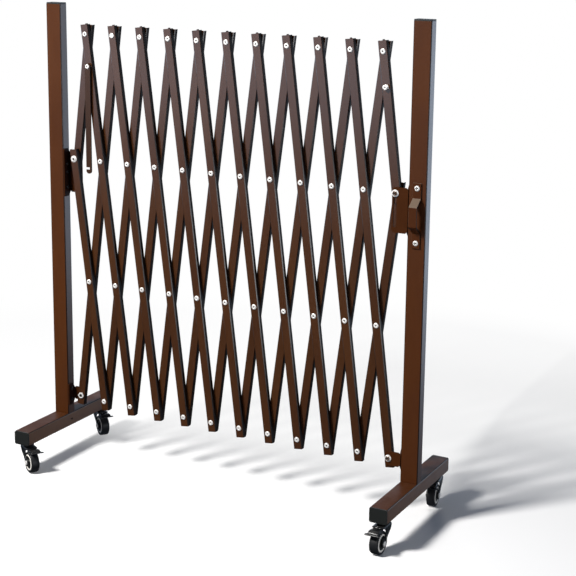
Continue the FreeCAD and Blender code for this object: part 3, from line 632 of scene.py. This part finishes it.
# %% Function that spins an outline
def spun_ring(shape, place, radius, height, count, reach=fully_round):
    """Ring of vertices about the place's Z axis, or one vertex on the axis."""
    if radius == 0:
        return [shape.verts.new(place @ Vector((0, 0, height)))] * count
    angles = [2 * math.pi * step / count for step in range(count)]
    return [shape.verts.new(place @ Vector((radius * reach(angle) * math.cos(angle),
                                            radius * reach(angle) * math.sin(angle), height)))
            for angle in angles]


def join_rings(shape, rings, finish_number):
    """Skin between neighbouring rings. Corners that fall together leave triangles."""
    for lower, upper in zip(rings, rings[1:]):
        for step in range(len(lower)):
            ahead = (step + 1) % len(lower)
            corners = [lower[step], lower[ahead], upper[ahead], upper[step]]
            distinct = list(dict.fromkeys(corners))
            if len(distinct) > 2:
                shape.faces.new(distinct).material_index = finish_number


def turned(shape, outline, place, finish_number, count, reach=fully_round):
    """Spin (radius, height) pairs round the place's Z axis."""
    rings = [spun_ring(shape, place, radius, height, count, reach) for radius, height in outline]
    join_rings(shape, rings, finish_number)


# %% Function that makes an object of a drawn shape
def new_piece(name, shape, finishes, body, stands_for, corner=35):
    """Object from a shape in millimetres, riding on a body, with edges over the corner angle sharp."""
    bmesh.ops.recalc_face_normals(shape, faces=shape.faces)
    mesh = bpy.data.meshes.new(name)
    shape.to_mesh(mesh)
    shape.free()
    mesh.transform(Matrix.Scale(MM, 4))
    for material in finishes:
        mesh.materials.append(material)
    mesh.shade_smooth()
    mesh.set_sharp_from_angle(angle=math.radians(corner))
    piece = bpy.data.objects.new(name, mesh)
    bpy.context.collection.objects.link(piece)
    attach(piece, body)
    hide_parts(*stands_for)
    return piece


# %% [markdown]
# ## Rivets and sliding bolts
#
# Each crossing of two slats turns on a semi-tubular rivet. Its front end is hollow and rolled over into
# a ring, and its factory head lies inside the back slat. The CAD model holds a plain pin for each, so
# the pins tell where the rivets go: every separate solid in the node is found by walking along its
# edges, and its box shows what it is. The wide ones are the bolts that slide in the slotted brackets,
# with the head in front on the left and the nut in front on the right. The ones that stand far out are
# the rivet that carries the hook strap and the stud it drops over.

# %% Find the separate solids of a CAD node
WELD = 0.001


def solids_of(node):
    """Boxes, in millimetres, of the solids in a node, in a fixed order."""
    shape = bmesh.new()
    shape.from_mesh(nodes[node].data)
    bmesh.ops.remove_doubles(shape, verts=shape.verts, dist=WELD * MM)
    waiting = set(shape.verts)
    boxes = []
    while waiting:
        reached = [waiting.pop()]
        for vert in reached:
            beside = {edge.other_vert(vert) for edge in vert.link_edges} & waiting
            waiting -= beside
            reached.extend(beside)
        points = [vert.co / MM for vert in reached]
        low = Vector(min(point[axis] for point in points) for axis in range(3))
        high = Vector(max(point[axis] for point in points) for axis in range(3))
        boxes.append((low, high))
    shape.free()
    return sorted(boxes, key=lambda box: [round(value, 1) for corner in box for value in corner])


# %% Draw a hollow rivet, a strap rivet and a stud, each from the slat's face outwards
ROLLED_RIVET = [(0, -14.5), (3.2, -14.5), (4.8, -13.8), (5.6, -12.4), (4.2, -12.35), (4.2, 0.1),
                (5.8, 0.1), (6, 0.8), (5.6, 1.7), (4.8, 2.3), (3.8, 2.6), (2.6, 2.55), (1.8, 2.1),
                (1.5, 1.3)]
RIVET_HOLLOW = [(1.5, 1.3), (1.4, -3), (0, -3)]
STRAP_RIVET = [(0, 0.05), (5.2, 0.05), (5.2, 3.3), (2.9, 3.35), (2.9, 6.15), (5.4, 6.2), (5.5, 6.7),
               (5, 7.6), (3.8, 8.1), (2.4, 8.05), (1.5, 7.5)]
STRAP_HOLLOW = [(1.5, 7.5), (1.4, 5), (0, 5)]
CATCH_STUD = [(0, 0.05), (5.2, 0.05), (5.2, 1.1), (3.3, 1.6), (2.9, 2.4), (2.9, 6.2), (5.2, 6.5),
              (5.45, 7), (5, 7.7), (3.8, 8.15), (2.4, 8.1), (1.5, 7.5)]
RIVET_PROUD = 2.5
# Places of the finishes in a list of metals, and counts of points round a thin, a usual and a wide part.
# The second metal is painted shade for hollows, recesses and bolt ends.
BRIGHT, PAINTED_SHADE, BROWN, BLACK = range(4)
THIN, USUAL, WIDE = 20, 24, 28


def hollow_rivet(shape, place, outline, hollow):
    """Bright rolled rivet with its hollow painted dark as shade."""
    turned(shape, outline, place, BRIGHT, USUAL)
    turned(shape, hollow, place, PAINTED_SHADE, USUAL)


# %% Draw a bolt with a washer under its domed head and one under its nut
WASHER = [(0, 0.03), (7.6, 0.03), (7.8, 0.3), (7.8, 0.9), (7.5, 1.2), (0, 1.2)]
DOMED_HEAD = [(0, 1.1), (5.9, 1.1), (5.9, 1.6), (5.3, 2.5), (4.3, 3), (3.2, 3), (2.7, 2.6)]
HEAD_RECESS = [(2.7, 2.6), (2.3, 1.5), (0, 1.5)]
HEX_HEAD = [(0, 0.05), (6.7, 0.05), (6.7, 2.3), (6.1, 2.9), (4.2, 2.9), (3.6, 2.4)]
HEX_RECESS = [(3.6, 2.4), (3.2, 1.6), (0, 1.6)]
NUT = [(0, 1.1), (4.4, 1.1), (4.4, 4.3), (4, 4.9), (3, 4.9), (2.8, 4.5), (0, 4.5)]
BOLT_END = [(0, 4.3), (2.3, 4.3), (2.3, 5), (1.9, 5.5), (0, 5.5)]
HEAD_HEIGHT = 3
NUT_HEIGHT = 5
SHANK = 3


def domed_head(shape, place):
    """Washer and domed head with a round recess painted dark as shade."""
    turned(shape, WASHER, place, BRIGHT, WIDE)
    turned(shape, DOMED_HEAD, place, BRIGHT, WIDE)
    turned(shape, HEAD_RECESS, place, PAINTED_SHADE, WIDE)


def hex_head(shape, place):
    """Hexagonal head with a dished top painted dark as shade."""
    turned(shape, HEX_HEAD, place, BRIGHT, USUAL, six_sided)
    turned(shape, HEX_RECESS, place, PAINTED_SHADE, USUAL, six_sided)


def nut_and_end(shape, place):
    """Washer, nut and the end of the bolt, painted dark as shade."""
    turned(shape, WASHER, place, BRIGHT, WIDE)
    turned(shape, NUT, place, BROWN, USUAL, six_sided)
    turned(shape, BOLT_END, place, PAINTED_SHADE, THIN)


def through_bolt(shape, middle, near, far, head, head_in_front):
    """Head on one side, nut on the other, and a shank between the near and the far face."""
    near_place = Matrix.Translation((middle.x, near, middle.z)) @ FRONT
    far_place = Matrix.Translation((middle.x, far, middle.z)) @ BACK
    head(shape, near_place if head_in_front else far_place)
    nut_and_end(shape, far_place if head_in_front else near_place)
    shank = [(0, near - far), (SHANK, near - far), (SHANK, 0), (0, 0)]
    turned(shape, shank, near_place, BRIGHT, THIN)


# %% Set the rivets and the sliding bolts
bolt_brown = finish("bolt_brown", srgb(92, 64, 46), srgb(78, 52, 36), srgb(140, 120, 104),
                    gloss=(0.3, 0.42), grain=1200, depth=0.02, metal=0.4)
# Hollows, recesses and bolt ends are painted dark as shade.
painted_shade_hollow = finish("painted_shade_hollow", srgb(26, 22, 20), srgb(20, 17, 15), srgb(40, 35, 31),
                     gloss=(0.5, 0.6), grain=1200, depth=0.02, film=0.0)
METAL_FINISHES = [bright_zinc, painted_shade_hollow, bolt_brown]
STRAP_PIN_FRONT = -17.5
BOLT_WIDTH = 12
made = {"rivets": 0, "bolts": 0, "strap parts": 0}
for node in sorted(name for name in nodes if name.startswith("rivets_")):
    shape = bmesh.new()
    for low, high in solids_of(node):
        middle = (low + high) / 2
        if low.y < STRAP_PIN_FRONT:
            place = Matrix.Translation((middle.x, high.y, middle.z)) @ FRONT
            hollow_rivet(shape, place, STRAP_RIVET if middle.x < 0 else CATCH_STUD, STRAP_HOLLOW)
            made["strap parts"] += 1
        elif high.x - low.x > BOLT_WIDTH:
            near, far = low.y + HEAD_HEIGHT, high.y - NUT_HEIGHT
            through_bolt(shape, middle, near, far, domed_head, middle.x < 0)
            made["bolts"] += 1
        else:
            place = Matrix.Translation((middle.x, low.y + RIVET_PROUD, middle.z)) @ FRONT
            hollow_rivet(shape, place, ROLLED_RIVET, RIVET_HOLLOW)
            made["rivets"] += 1
    new_piece(node + "_turned", shape, METAL_FINISHES, nodes[node]["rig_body"], [node])
print(made)

# %% [markdown]
# ## Stems, lower bolts and screws
#
# The outermost slat at each end turns on a fixed bolt in the lower bracket. On the left its head looks
# to the front, on the right its nut does, because the two end frames are the same part turned half
# round. The casters hang on stems with a stepped collar. Small pan-head screws hold the brackets and the
# handle.

# %% Turn the stems and the lower bolts
COLLAR = [(0, 60.5), (12.4, 60.5), (13, 61), (13, 62.6), (12.2, 63.4), (11.4, 63.8), (11.4, 65.6),
          (12.6, 66.2), (13, 66.8), (13, 67.95), (0, 67.95)]
STEM = [(0, 57), (4.8, 57), (4.8, 60.6), (0, 60.6)]
STEM_NUT = [(0, 53.8), (6, 53.8), (6.8, 54.5), (6.8, 57.05), (0, 57.05)]
COLLAR_POINTS = 36
STEMS_BELOW = 100
for side in ("left", "right"):
    node = side + "_hardware"
    shape = bmesh.new()
    for low, high in solids_of(node):
        middle = (low + high) / 2
        if high.z < STEMS_BELOW:
            place = Matrix.Translation((middle.x, middle.y, 0))
            turned(shape, COLLAR, place, BLACK, COLLAR_POINTS)
            turned(shape, STEM, place, BRIGHT, USUAL)
            turned(shape, STEM_NUT, place, BRIGHT, USUAL, six_sided)
        else:
            proud = (HEAD_HEIGHT, NUT_HEIGHT) if side == "left" else (NUT_HEIGHT, HEAD_HEIGHT)
            near, far = low.y + proud[0], high.y - proud[1]
            through_bolt(shape, middle, near, far, hex_head, side == "left")
    new_piece(side + "_turned_hardware", shape, [*METAL_FINISHES, stamped_black], side + "_frame", [node])
print("stems and lower bolts set on both frames")

# %% Drive the screws
# Radii are shares of the head's radius, and heights are for a head with a radius of 4 mm.
PAN_HEAD = [(0, 0.03), (1, 0.03), (1, 0.35), (0.93, 0.8), (0.76, 1.25), (0.6, 1.4)]
RECESS_LIP = 0.58
RECESS_BASE = 0.4
RECESS_DEPTH = 0.3
SCREW_POINTS = 32


def pan_screw(shape, place, radius, finish_number):
    """Pan-head screw with a cross recess painted dark as shade."""
    head = [(part * radius, height * radius / 4) for part, height in PAN_HEAD]
    turned(shape, head, place, finish_number, SCREW_POINTS)
    rim_radius, top = head[-1]
    bottom = top - RECESS_DEPTH * radius
    rim = spun_ring(shape, place, rim_radius, top, SCREW_POINTS)
    lip = spun_ring(shape, place, RECESS_LIP * radius, top, SCREW_POINTS, cross_cut)
    join_rings(shape, [rim, lip], finish_number)
    base = spun_ring(shape, place, RECESS_BASE * radius, bottom, SCREW_POINTS, cross_cut)
    middle = spun_ring(shape, place, 0, bottom, SCREW_POINTS)
    join_rings(shape, [lip, base, middle], PAINTED_SHADE)


UPPER_SCREWS = (712, 693, 657)
LOWER_SCREWS = (161, 135)
HANDLE_SCREWS = (742, 627)
BASE_PLATE = 2.5
HANDLE_SHEET = 3
BRACKET_SCREW_RADIUS = 4.2
HANDLE_SCREW_RADIUS = 5.8
for side, direction, post_end, inwards in (("left", RIGHT, 0, 1), ("right", LEFT, 1, -1)):
    shape = bmesh.new()
    face = solids_of(side + "_brackets")[0][post_end].x + inwards * BASE_PLATE
    for height in UPPER_SCREWS + LOWER_SCREWS:
        pan_screw(shape, Matrix.Translation((face, 0, height)) @ direction, BRACKET_SCREW_RADIUS, BLACK)
    if side == "right":
        low, high = (Vector(corner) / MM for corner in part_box("pull_handle"))
        for height in HANDLE_SCREWS:
            tab = Matrix.Translation(((low.x + high.x) / 2, high.y - HANDLE_SHEET, height)) @ FRONT
            pan_screw(shape, tab, HANDLE_SCREW_RADIUS, BRIGHT)
    new_piece(side + "_screws", shape, [*METAL_FINISHES, stamped_black], side + "_frame", ())
print(len(UPPER_SCREWS + LOWER_SCREWS), "screws per frame and", len(HANDLE_SCREWS), "on the handle")

# %% [markdown]
# ## Casters
#
# A caster is drawn once, with its swivel axis at the origin, the floor at zero and the wheel trailing
# along X, and placed four times. Where each one points is read from the joints, so the picture follows
# the CAD model.

# %% Find where the casters stand and point
joints = {joint["name"]: joint for joint in frame["joints"]}
caster_places = {}
for corner in ("left_front", "left_rear", "right_front", "right_rear"):
    swivel = Vector(joints["swivel_" + corner]["pos_m"]) / MM
    axle = Vector(joints["roll_" + corner]["pos_m"]) / MM
    yaw = math.atan2(axle.y - swivel.y, axle.x - swivel.x)
    caster_places[corner] = Matrix.Translation((swivel.x, swivel.y, 0)) @ Matrix.Rotation(yaw, 4, "Z")
    print(corner, "points to", round(math.degrees(yaw)), "degrees")
TRAIL = 20
AXLE_HEIGHT = 25

# %% [markdown]
# **Fork.** It is stamped from one sheet: a flat crown, two bends and two slender legs that sweep back to
# the axle and end in a round boss. The middle of the sheet is laid out as a grid that runs up one leg,
# over the crown and down the other, and a Solidify modifier gives it the sheet's thickness.

# %% Lay out the fork's sheet
LEG_EDGES = ((16.3, 17.4, 22.6), (17.6, 14.8, 25.2), (20, 12.6, 27.4), (25, 11, 29), (29, 9.4, 28),
             (32, 6.8, 25.4), (34, 4.8, 20.6), (36, 2.4, 16.2), (39, -1.6, 12.8), (43, -6.6, 10.8),
             (47, -11, 10.4), (51, -14, 11.8), (54, -15.4, 15.4), (55.75, -15.8, 20))
CROWN_EDGES = (-16, 27)
SHEET = 2.5
FORK_HALF = 12.75
BEND = 3
BEND_STEPS = 4
CROWN_HEIGHT = 58.75
STRIPS = 8


def fork_rows():
    """Place (y, z) and edges (x) of each row, from one leg's foot over the crown to the other's."""
    leg = [(-FORK_HALF, height, front, rear) for height, front, rear in LEG_EDGES]
    bend = []
    for step in range(1, BEND_STEPS + 1):
        turn = math.radians(90 * step / BEND_STEPS)
        rear = LEG_EDGES[-1][2] + (CROWN_EDGES[1] - LEG_EDGES[-1][2]) * math.sin(turn)
        y = -FORK_HALF + BEND * (1 - math.cos(turn))
        z = CROWN_HEIGHT - BEND * (1 - math.sin(turn))
        bend.append((y, z, CROWN_EDGES[0], rear))
    half = leg + bend
    crown = [(part * (FORK_HALF - BEND) / 3, CROWN_HEIGHT, *CROWN_EDGES) for part in (-2, -1, 0, 1, 2)]
    return half + crown + [(-y, z, front, rear) for y, z, front, rear in reversed(half)]


def fork_sheet(shape, place):
    """Grid of the fork's middle surface."""
    rows = []
    for y, z, front, rear in fork_rows():
        stations = [front + (rear - front) * step / STRIPS for step in range(STRIPS + 1)]
        rows.append([shape.verts.new(place @ Vector((x, y, z))) for x in stations])
    for lower, upper in zip(rows, rows[1:]):
        for step in range(STRIPS):
            shape.faces.new((lower[step], lower[step + 1], upper[step + 1], upper[step]))


# %% Build the forks and their axles
AXLE_HEAD = [(0, 0.05), (5, 0.05), (5, 1.8), (4.4, 2.4), (2.6, 2.5), (2.2, 2.1), (0, 2.1)]
AXLE_RADIUS = 3.2
SHEET_ROUNDING = 0.6
outside = FORK_HALF + SHEET / 2
AXLE = [(0, -outside), (AXLE_RADIUS, -outside), (AXLE_RADIUS, outside), (0, outside)]
for corner, place in caster_places.items():
    fork = "caster_fork_" + corner
    shape = bmesh.new()
    fork_sheet(shape, place)
    stamping = new_piece(fork + "_stamping", shape, [stamped_black], fork, [fork], 50)
    thick = stamping.modifiers.new("sheet", "SOLIDIFY")
    thick.thickness = SHEET * MM
    thick.offset = 0
    soft = stamping.modifiers.new("rolled edge", "BEVEL")
    soft.width = SHEET_ROUNDING * MM
    soft.segments = 2
    soft.limit_method = "ANGLE"
    shape = bmesh.new()
    centre = place @ Matrix.Translation((TRAIL, 0, AXLE_HEIGHT))
    turned(shape, AXLE, centre @ FRONT, BRIGHT, THIN)
    for way, y in ((FRONT, -outside), (BACK, outside)):
        turned(shape, AXLE_HEAD, centre @ Matrix.Translation((0, y, 0)) @ way, BRIGHT, USUAL, six_sided)
    new_piece(fork + "_axle", shape, METAL_FINISHES, fork, ())
print("forks:", len(caster_places))

# %% [markdown]
# **Wheel.** A hard black tread on a pale core, with a dark guard over the hub. One outline is spun in
# three runs, so that each run takes its own finish, and the bore stays open for the axle.

# %% Turn the wheels
HUB = [(3.8, 10.4), (6.4, 10.4), (7.1, 9.7), (7.6, 8.6), (14, 8.2), (15, 9.2)]
CORE = [(15, 9.2), (15.6, 9.8), (18.3, 9.8), (19, 9.1)]
TREAD = [(19, 9.1), (19.7, 8.9), (20.5, 9.6), (22.8, 9.9), (24.2, 9.2), (25, 7.4), (25, 0)]
TREAD_FINISH, HUB_FINISH, CORE_FINISH = range(3)
WHEEL_POINTS = 48


def mirrored(run):
    """The same run on the wheel's other side."""
    return [(radius, -height) for radius, height in run]


for corner, place in caster_places.items():
    node = "caster_wheel_" + corner
    shape = bmesh.new()
    hub = place @ Matrix.Translation((TRAIL, 0, AXLE_HEIGHT)) @ FRONT
    for run, finish_number in ((HUB, HUB_FINISH), (CORE, CORE_FINISH), (TREAD, TREAD_FINISH)):
        turned(shape, run, hub, finish_number, WHEEL_POINTS)
        turned(shape, mirrored(run), hub, finish_number, WHEEL_POINTS)
    turned(shape, [HUB[0], mirrored(HUB)[0]], hub, HUB_FINISH, WHEEL_POINTS)
    bmesh.ops.remove_doubles(shape, verts=shape.verts, dist=WELD)
    new_piece(node + "_turned", shape, [rolling_tread, moulded_black, pale_core], node, [node])
print("wheels of", 2 * TREAD[-1][0], "mm")

# %% [markdown]
# **Brake pedal.** A hood that bulges over the wheel behind the fork, with a bar for the toe along its
# free edge, wider than the hood. Both are lofted through rounded sections. On the left casters the
# brakes are free and the pedals stand up, and on the right ones they are pressed.

# %% Functions that loft through rounded sections
CORNER_STEPS = 4


def rounded_section(low, high, radius):
    """Points of a rectangle with rounded corners, going round once."""
    points = []
    for right, upper, start in ((1, 1, 0), (0, 1, 90), (0, 0, 180), (1, 0, 270)):
        across = high[0] - radius if right else low[0] + radius
        up = high[1] - radius if upper else low[1] + radius
        for step in range(CORNER_STEPS + 1):
            angle = math.radians(start + 90 * step / CORNER_STEPS)
            points.append((across + radius * math.cos(angle), up + radius * math.sin(angle)))
    return points


def lofted(shape, stations):
    """Closed skin through rings of points."""
    rings = [[shape.verts.new(point) for point in ring] for ring in stations]
    join_rings(shape, rings, 0)
    for ring in (rings[0], rings[-1]):
        shape.faces.new(ring)


# %% Loft the pedals
# A row of the hood: how far back, half its width, top, underside and corner radius.
# A row of the bar: how far across, back edge, front edge, underside, top and corner radius.
HOOD = ((18.6, 9.6, 55.4, 51.6, 1.6), (19.4, 10.6, 56.2, 50.9, 2), (29.8, 10.6, 56.6, 50.7, 2),
        (31, 12, 56.9, 50.6, 2.4), (35, 12.5, 57.2, 50.6, 2.8), (41, 12.5, 56.9, 50.6, 2.6),
        (45, 12.3, 55.6, 50.4, 2.2), (46.8, 11.9, 54, 50.4, 1.6), (47.3, 11.2, 53.2, 50.8, 1.1))
TOE_BAR = ((-17, 47.4, 51.8, 50.7, 51.7, 0.45), (-16.6, 46.4, 52.7, 50.2, 52.1, 0.9),
           (-13, 45, 53, 50, 52.3, 1.1), (13, 45, 53, 50, 52.3, 1.1),
           (16.6, 46.4, 52.7, 50.2, 52.1, 0.9), (17, 47.4, 51.8, 50.7, 51.7, 0.45))
PEDAL_PIN = Matrix.Translation((21, 0, 53.5))
FREE_LIFT = Matrix.Rotation(math.radians(-8), 4, "Y")
for corner, place in caster_places.items():
    node = "brake_pedal_" + corner
    swing = PEDAL_PIN @ FREE_LIFT @ PEDAL_PIN.inverted() if corner.startswith("left") else Matrix()
    shape = bmesh.new()
    lofted(shape, [[place @ swing @ Vector((x, y, z))
                    for y, z in rounded_section((-half, under), (half, top), radius)]
                   for x, half, top, under, radius in HOOD])
    lofted(shape, [[place @ swing @ Vector((x, y, z))
                    for x, z in rounded_section((back, under), (front, top), radius)]
                   for y, back, front, under, top, radius in TOE_BAR])
    new_piece(node + "_moulded", shape, [stamped_black], node, [node])
print("pedals:", len(caster_places))

# %% Compare sizes and finish
look_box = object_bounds()
boxes = {"cad": [list(corner) for corner in cad_box], "look": [list(corner) for corner in look_box]}
for side, corners in boxes.items():
    print(side, "box in mm:", [[round(value / MM, 1) for value in corner] for corner in corners])
